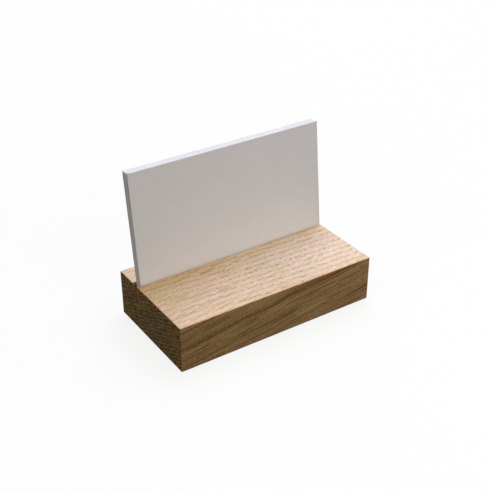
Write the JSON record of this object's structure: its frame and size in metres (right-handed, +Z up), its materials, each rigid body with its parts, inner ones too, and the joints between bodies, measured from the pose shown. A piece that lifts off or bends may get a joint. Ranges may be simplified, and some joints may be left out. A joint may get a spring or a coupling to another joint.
{
  "type": "business card holder stand",
  "caption": "Solid oak desk block with a leaning slot, open at both ends, that stands a small stack of blank business cards upright; each card lifts out.",
  "frame": {"origin": "middle of the block's underside, on the surface it stands on", "axes": "+X along the slot, to the right seen from the front; +Y from the front to the back; +Z up"},
  "size_m": [0.0874, 0.0466, 0.065],
  "materials": {
    "oak": "sanded smooth, thin matte oil",
    "card_stock": "smooth uncoated, matte"
  },
  "bodies": {
    "block": {"oak_block": "oak"},
    "front_card": {"front_card": "card_stock"},
    "card_2": {"card_2": "card_stock"},
    "card_3": {"card_3": "card_stock"},
    "card_4": {"card_4": "card_stock"},
    "card_5": {"card_5": "card_stock"},
    "card_6": {"card_6": "card_stock"},
    "card_7": {"card_7": "card_stock"},
    "card_8": {"card_8": "card_stock"},
    "rear_card": {"rear_card": "card_stock"}
  },
  "joints": [
    {"name": "front_card_lift", "type": "slide", "parent": "block", "child": "front_card", "axis": [0, 0.0993, 0.9951], "range_m": [0, 0.06]},
    {"name": "card_2_lift", "type": "slide", "parent": "block", "child": "card_2", "axis": [0, 0.1007, 0.9949], "range_m": [0, 0.06]},
    {"name": "card_3_lift", "type": "slide", "parent": "block", "child": "card_3", "axis": [0, 0.1021, 0.9948], "range_m": [0, 0.06]},
    {"name": "card_4_lift", "type": "slide", "parent": "block", "child": "card_4", "axis": [0, 0.1035, 0.9946], "range_m": [0, 0.06]},
    {"name": "card_5_lift", "type": "slide", "parent": "block", "child": "card_5", "axis": [0, 0.1049, 0.9945], "range_m": [0, 0.06]},
    {"name": "card_6_lift", "type": "slide", "parent": "block", "child": "card_6", "axis": [0, 0.1063, 0.9943], "range_m": [0, 0.06]},
    {"name": "card_7_lift", "type": "slide", "parent": "block", "child": "card_7", "axis": [0, 0.1077, 0.9942], "range_m": [0, 0.06]},
    {"name": "card_8_lift", "type": "slide", "parent": "block", "child": "card_8", "axis": [0, 0.109, 0.994], "range_m": [0, 0.06]},
    {"name": "rear_card_lift", "type": "slide", "parent": "block", "child": "rear_card", "axis": [0, 0.1104, 0.9939], "range_m": [0, 0.06]}
  ]
}
